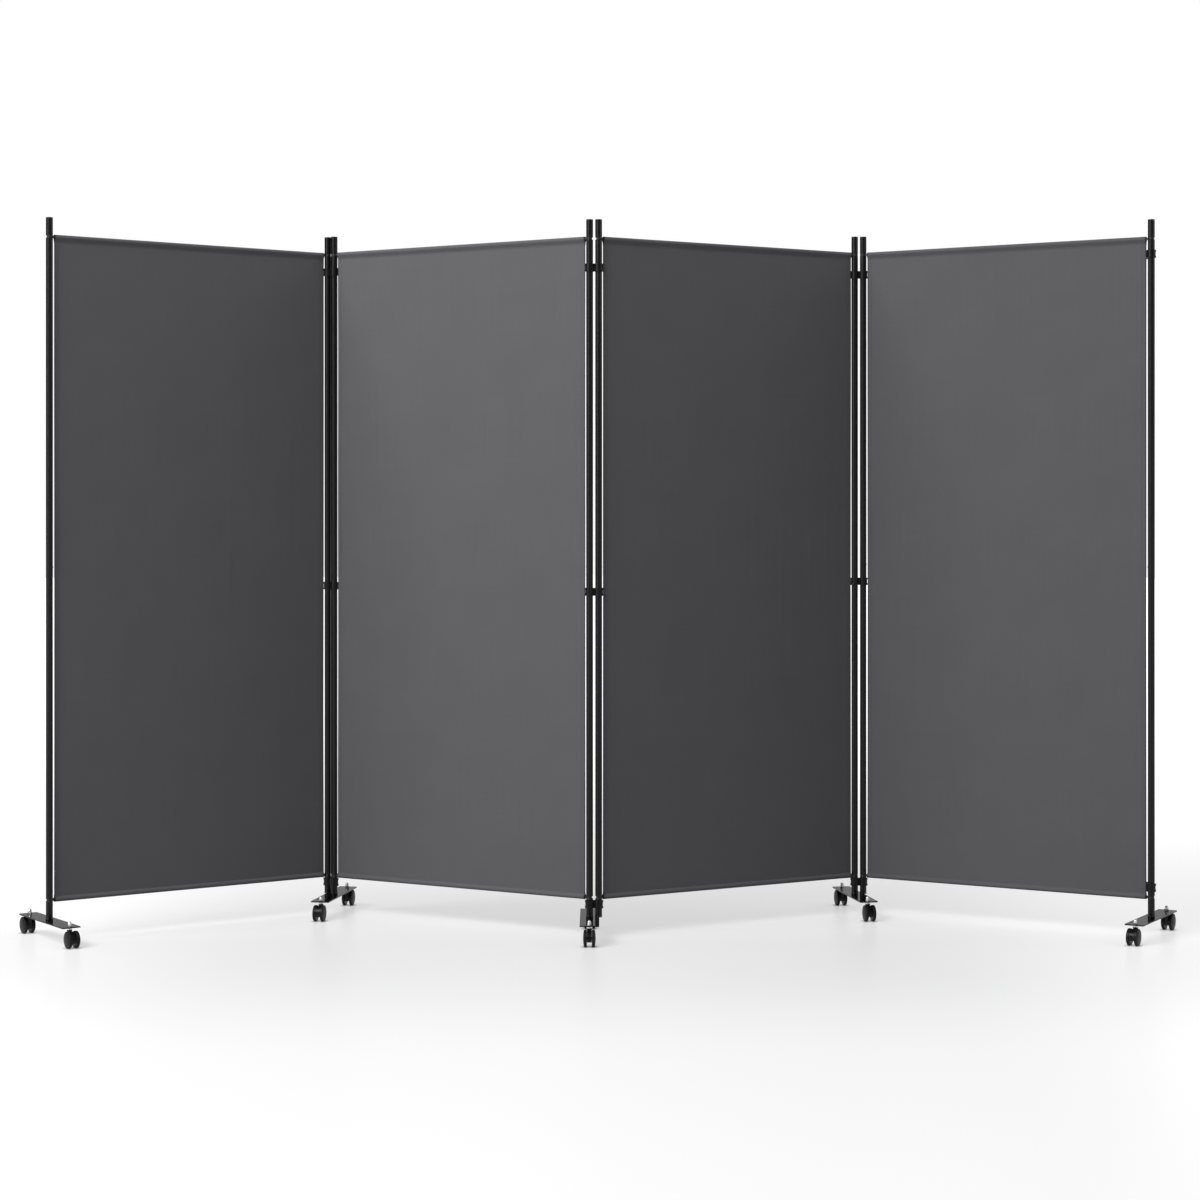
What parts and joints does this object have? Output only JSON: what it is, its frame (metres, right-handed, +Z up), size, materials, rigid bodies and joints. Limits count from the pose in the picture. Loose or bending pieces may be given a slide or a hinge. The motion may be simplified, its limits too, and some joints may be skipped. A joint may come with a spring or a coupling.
{
  "type": "rolling folding room divider",
  "caption": "Rolling folding screen: fabric panels stretched between round posts, linked by ring clips, on flat bases with twin-wheel casters.",
  "frame": {"origin": "on the floor, at the bottom centre of the whole screen's box as it stands in the picture", "axes": "+Z up; +X along the row of panels, to the viewer's right; the front faces -Y"},
  "size_m": [2.9962, 0.7498, 1.83],
  "materials": {
    "fabric": "matt woven cloth",
    "tube_coat": "satin powder coat",
    "rail_coat": "satin powder coat",
    "plug_plastic": "moulded, matt",
    "clip_plastic": "moulded, satin",
    "plate_coat": "gloss powder coat",
    "bright_steel": "bright plated",
    "housing_plastic": "moulded, satin",
    "wheel_plastic": "moulded, satin"
  },
  "bodies": {
    "panel_1": {"panel_1_fabric": "fabric", "panel_1_rails": "rail_coat", "panel_1_upper_tubes": "tube_coat", "panel_1_lower_tubes": "tube_coat", "panel_1_end_tubes": "tube_coat", "panel_1_plugs": "plug_plastic"},
    "panel_2": {"panel_2_fabric": "fabric", "panel_2_rails": "rail_coat", "panel_2_upper_tubes": "tube_coat", "panel_2_lower_tubes": "tube_coat", "panel_2_end_tubes": "tube_coat", "panel_2_plugs": "plug_plastic"},
    "panel_3": {"panel_3_fabric": "fabric", "panel_3_rails": "rail_coat", "panel_3_upper_tubes": "tube_coat", "panel_3_lower_tubes": "tube_coat", "panel_3_end_tubes": "tube_coat", "panel_3_plugs": "plug_plastic"},
    "panel_4": {"panel_4_fabric": "fabric", "panel_4_rails": "rail_coat", "panel_4_upper_tubes": "tube_coat", "panel_4_lower_tubes": "tube_coat", "panel_4_end_tubes": "tube_coat", "panel_4_plugs": "plug_plastic"},
    "link_12": {"clips_12": "clip_plastic"},
    "link_23": {"clips_23": "clip_plastic"},
    "link_34": {"clips_34": "clip_plastic"},
    "end_clip_top": {"end_clip_top": "clip_plastic"},
    "end_clip_bottom": {"end_clip_bottom": "clip_plastic"},
    "base_1": {"base_1_plate": "plate_coat", "base_1_fasteners": "bright_steel"},
    "base_2": {"base_2_plate": "plate_coat", "base_2_fasteners": "bright_steel"},
    "base_3": {"base_3_plate": "plate_coat", "base_3_fasteners": "bright_steel"},
    "base_4": {"base_4_plate": "plate_coat", "base_4_fasteners": "bright_steel"},
    "base_5": {"base_5_plate": "plate_coat", "base_5_fasteners": "bright_steel"},
    "caster_1_front": {"caster_1_front_housing": "housing_plastic"},
    "wheels_1_front": {"caster_1_front_wheels": "wheel_plastic"},
    "caster_1_back": {"caster_1_back_housing": "housing_plastic"},
    "wheels_1_back": {"caster_1_back_wheels": "wheel_plastic"},
    "caster_2_front": {"caster_2_front_housing": "housing_plastic"},
    "wheels_2_front": {"caster_2_front_wheels": "wheel_plastic"},
    "caster_2_back": {"caster_2_back_housing": "housing_plastic"},
    "wheels_2_back": {"caster_2_back_wheels": "wheel_plastic"},
    "caster_3_front": {"caster_3_front_housing": "housing_plastic"},
    "wheels_3_front": {"caster_3_front_wheels": "wheel_plastic"},
    "caster_3_back": {"caster_3_back_housing": "housing_plastic"},
    "wheels_3_back": {"caster_3_back_wheels": "wheel_plastic"},
    "caster_4_front": {"caster_4_front_housing": "housing_plastic"},
    "wheels_4_front": {"caster_4_front_wheels": "wheel_plastic"},
    "caster_4_back": {"caster_4_back_housing": "housing_plastic"},
    "wheels_4_back": {"caster_4_back_wheels": "wheel_plastic"},
    "caster_5_front": {"caster_5_front_housing": "housing_plastic"},
    "wheels_5_front": {"caster_5_front_wheels": "wheel_plastic"},
    "caster_5_back": {"caster_5_back_housing": "housing_plastic"},
    "wheels_5_back": {"caster_5_back_wheels": "wheel_plastic"}
  },
  "joints": [
    {"name": "link_12_swing", "type": "hinge", "parent": "panel_2", "child": "link_12", "pos_m": [-0.71948, 0.21192, 0.052], "axis": [0, 0, 1], "range_deg": [-70, 80]},
    {"name": "panel_1_fold", "type": "hinge", "parent": "link_12", "child": "panel_1", "pos_m": [-0.73832, 0.22511, 0.052], "axis": [0, 0, 1], "range_deg": [-145, 5]},
    {"name": "link_23_swing", "type": "hinge", "parent": "panel_2", "child": "link_23", "pos_m": [-0.02666, -0.18808, 0.052], "axis": [0, 0, 1], "range_deg": [-105, 45]},
    {"name": "panel_3_fold", "type": "hinge", "parent": "link_23", "child": "panel_3", "pos_m": [-0.00366, -0.18808, 0.052], "axis": [0, 0, 1], "range_deg": [-105, 45]},
    {"name": "link_34_swing", "type": "hinge", "parent": "panel_3", "child": "link_34", "pos_m": [0.68916, 0.21192, 0.052], "axis": [0, 0, -1], "range_deg": [-105, 45]},
    {"name": "panel_4_fold", "type": "hinge", "parent": "link_34", "child": "panel_4", "pos_m": [0.71216, 0.21192, 0.052], "axis": [0, 0, -1], "range_deg": [-105, 45]},
    {"name": "end_clip_top_swing", "type": "hinge", "parent": "panel_4", "child": "end_clip_top", "pos_m": [1.40498, -0.18808, 1.742], "axis": [0, 0, 1], "range_deg": [-260, 20]},
    {"name": "end_clip_bottom_swing", "type": "hinge", "parent": "panel_4", "child": "end_clip_bottom", "pos_m": [1.40498, -0.18808, 0.127], "axis": [0, 0, 1], "range_deg": [-260, 20]},
    {"name": "base_1_turn", "type": "hinge", "parent": "panel_1", "child": "base_1", "pos_m": [-1.39364, -0.23375, 0.052], "axis": [0, 0, 1], "range_deg": [-90, 90]},
    {"name": "base_2_turn", "type": "hinge", "parent": "panel_2", "child": "base_2", "pos_m": [-0.71948, 0.21192, 0.052], "axis": [0, 0, 1], "range_deg": [-90, 90]},
    {"name": "base_3_turn", "type": "hinge", "parent": "panel_2", "child": "base_3", "pos_m": [-0.02666, -0.18808, 0.052], "axis": [0, 0, 1], "range_deg": [-90, 90]},
    {"name": "base_4_turn", "type": "hinge", "parent": "panel_3", "child": "base_4", "pos_m": [0.68916, 0.21192, 0.052], "axis": [0, 0, 1], "range_deg": [-90, 90]},
    {"name": "base_5_turn", "type": "hinge", "parent": "panel_4", "child": "base_5", "pos_m": [1.40498, -0.18808, 0.052], "axis": [0, 0, 1], "range_deg": [-90, 90]},
    {"name": "caster_1_front_swivel", "type": "hinge", "parent": "base_1", "child": "caster_1_front", "pos_m": [-1.3208, -0.33778, 0.044], "axis": [0, 0, 1], "continuous": true},
    {"name": "caster_1_front_roll", "type": "hinge", "parent": "caster_1_front", "child": "wheels_1_front", "pos_m": [-1.3122, -0.35007, 0.02125], "axis": [-0.8192, -0.5736, 0], "continuous": true},
    {"name": "caster_1_back_swivel", "type": "hinge", "parent": "base_1", "child": "caster_1_back", "pos_m": [-1.46649, -0.12971, 0.044], "axis": [0, 0, 1], "continuous": true},
    {"name": "caster_1_back_roll", "type": "hinge", "parent": "caster_1_back", "child": "wheels_1_back", "pos_m": [-1.47509, -0.11743, 0.02125], "axis": [-0.8192, -0.5736, 0], "continuous": true},
    {"name": "caster_2_front_swivel", "type": "hinge", "parent": "base_2", "child": "caster_2_front", "pos_m": [-0.74154, 0.08685, 0.044], "axis": [0, 0, 1], "continuous": true},
    {"name": "caster_2_front_roll", "type": "hinge", "parent": "caster_2_front", "child": "wheels_2_front", "pos_m": [-0.74414, 0.07208, 0.02125], "axis": [-0.9848, 0.1736, 0], "continuous": true},
    {"name": "caster_2_back_swivel", "type": "hinge", "parent": "base_2", "child": "caster_2_back", "pos_m": [-0.69743, 0.33699, 0.044], "axis": [0, 0, 1], "continuous": true},
    {"name": "caster_2_back_roll", "type": "hinge", "parent": "caster_2_back", "child": "wheels_2_back", "pos_m": [-0.69482, 0.35176, 0.02125], "axis": [-0.9848, 0.1736, 0], "continuous": true},
    {"name": "caster_3_front_swivel", "type": "hinge", "parent": "base_3", "child": "caster_3_front", "pos_m": [-0.02666, -0.31508, 0.044], "axis": [0, 0, 1], "continuous": true},
    {"name": "caster_3_front_roll", "type": "hinge", "parent": "caster_3_front", "child": "wheels_3_front", "pos_m": [-0.02666, -0.33008, 0.02125], "axis": [-1, 0, 0], "continuous": true},
    {"name": "caster_3_back_swivel", "type": "hinge", "parent": "base_3", "child": "caster_3_back", "pos_m": [-0.02666, -0.06108, 0.044], "axis": [0, 0, 1], "continuous": true},
    {"name": "caster_3_back_roll", "type": "hinge", "parent": "caster_3_back", "child": "wheels_3_back", "pos_m": [-0.02666, -0.04608, 0.02125], "axis": [-1, 0, 0], "continuous": true},
    {"name": "caster_4_front_swivel", "type": "hinge", "parent": "base_4", "child": "caster_4_front", "pos_m": [0.71121, 0.08685, 0.044], "axis": [0, 0, 1], "continuous": true},
    {"name": "caster_4_front_roll", "type": "hinge", "parent": "caster_4_front", "child": "wheels_4_front", "pos_m": [0.71382, 0.07208, 0.02125], "axis": [-0.9848, -0.1736, 0], "continuous": true},
    {"name": "caster_4_back_swivel", "type": "hinge", "parent": "base_4", "child": "caster_4_back", "pos_m": [0.66711, 0.33699, 0.044], "axis": [0, 0, 1], "continuous": true},
    {"name": "caster_4_back_roll", "type": "hinge", "parent": "caster_4_back", "child": "wheels_4_back", "pos_m": [0.6645, 0.35176, 0.02125], "axis": [-0.9848, -0.1736, 0], "continuous": true},
    {"name": "caster_5_front_swivel", "type": "hinge", "parent": "base_5", "child": "caster_5_front", "pos_m": [1.34148, -0.29806, 0.044], "axis": [0, 0, 1], "continuous": true},
    {"name": "caster_5_front_roll", "type": "hinge", "parent": "caster_5_front", "child": "wheels_5_front", "pos_m": [1.33398, -0.31105, 0.02125], "axis": [-0.866, 0.5, 0], "continuous": true},
    {"name": "caster_5_back_swivel", "type": "hinge", "parent": "base_5", "child": "caster_5_back", "pos_m": [1.46848, -0.07809, 0.044], "axis": [0, 0, 1], "continuous": true},
    {"name": "caster_5_back_roll", "type": "hinge", "parent": "caster_5_back", "child": "wheels_5_back", "pos_m": [1.47598, -0.0651, 0.02125], "axis": [-0.866, 0.5, 0], "continuous": true}
  ]
}
